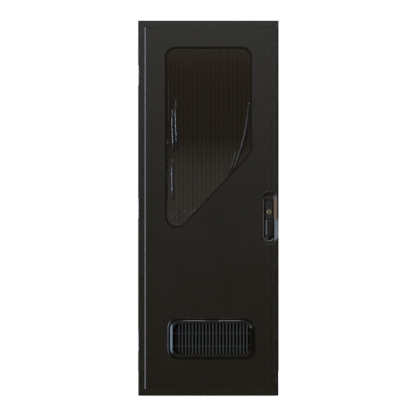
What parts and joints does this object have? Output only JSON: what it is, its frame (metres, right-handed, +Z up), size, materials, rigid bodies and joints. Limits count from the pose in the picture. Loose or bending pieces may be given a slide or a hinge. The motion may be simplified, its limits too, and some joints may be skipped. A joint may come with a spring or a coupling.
{
  "type": "caravan entry door",
  "caption": "Dark caravan entry door in its frame: hinged leaf with a slant-bottomed tinted window, low slatted vent and a recessed pull lock with key.",
  "frame": {"origin": "middle of the sill flange's lower edge, on the back face that lies on the wall", "axes": "+X to the lock side, +Y into the vehicle, +Z up"},
  "size_m": [0.622, 0.08, 1.66],
  "materials": {
    "frame_paint": "satin black powder coat",
    "border_paint": "satin black powder coat",
    "panel_paint": "satin black sheet",
    "inner_skin": "satin black sheet",
    "foam": "rigid foam",
    "block_timber": "sawn softwood",
    "seal_rubber": "matte black rubber",
    "hinge_metal": "natural extrusion",
    "plate_steel": "brushed stainless",
    "tinted_pane": "dark bronze tint",
    "screen_mesh": "woven insect screen",
    "trim_plastic": "moulded black",
    "vent_plastic": "moulded black",
    "lock_plastic": "moulded black, half gloss",
    "key_brass": "turned brass"
  },
  "bodies": {
    "frame": {"frame_head": "frame_paint", "frame_sill": "frame_paint", "frame_hinge_jamb": "frame_paint", "frame_lock_jamb": "frame_paint", "door_seal": "seal_rubber", "keeper_plate": "plate_steel", "hinge_frame_upper": "hinge_metal", "hinge_frame_middle": "hinge_metal", "hinge_frame_lower": "hinge_metal"},
    "leaf": {"hinge_stile": "border_paint", "lock_stile_upper": "border_paint", "lock_stile_middle": "border_paint", "lock_stile_lower": "border_paint", "top_rail": "border_paint", "bottom_rail": "border_paint", "outer_panel": "panel_paint", "inner_panel": "inner_skin", "leaf_core": "foam", "lock_block": "block_timber", "window_gasket": "seal_rubber", "hinge_leaf_upper": "hinge_metal", "hinge_leaf_middle": "hinge_metal", "hinge_leaf_lower": "hinge_metal", "finger_plate": "plate_steel", "latch_plate": "plate_steel", "latch_bolt": "plate_steel", "paddle_pin": "plate_steel", "window_pane": "tinted_pane", "window_screen": "screen_mesh", "window_inner_trim": "trim_plastic", "vent_inner_cover": "trim_plastic", "inside_plate": "trim_plastic", "inside_handle": "trim_plastic", "vent_surround": "vent_plastic", "vent_grille": "vent_plastic", "lock_dish": "lock_plastic", "lock_boss": "lock_plastic", "key_cylinder": "key_brass"},
    "paddle": {"pull_paddle": "lock_plastic"},
    "plug": {"key_plug": "key_brass"}
  },
  "joints": [
    {"name": "leaf_hinge", "type": "hinge", "parent": "frame", "child": "leaf", "pos_m": [-0.3078, -0.015, 0.83], "axis": [0, 0, -1], "range_deg": [0, 170]},
    {"name": "paddle_pull", "type": "hinge", "parent": "leaf", "child": "paddle", "pos_m": [0.2583, -0.0165, 0.745], "axis": [0, 0, -1], "range_deg": [0, 35], "stiffness_Nm_per_rad": 0.4},
    {"name": "key_turn", "type": "hinge", "parent": "leaf", "child": "plug", "pos_m": [0.26835, -0.02, 0.8141], "axis": [0, 1, 0], "range_deg": [0, 90]}
  ]
}
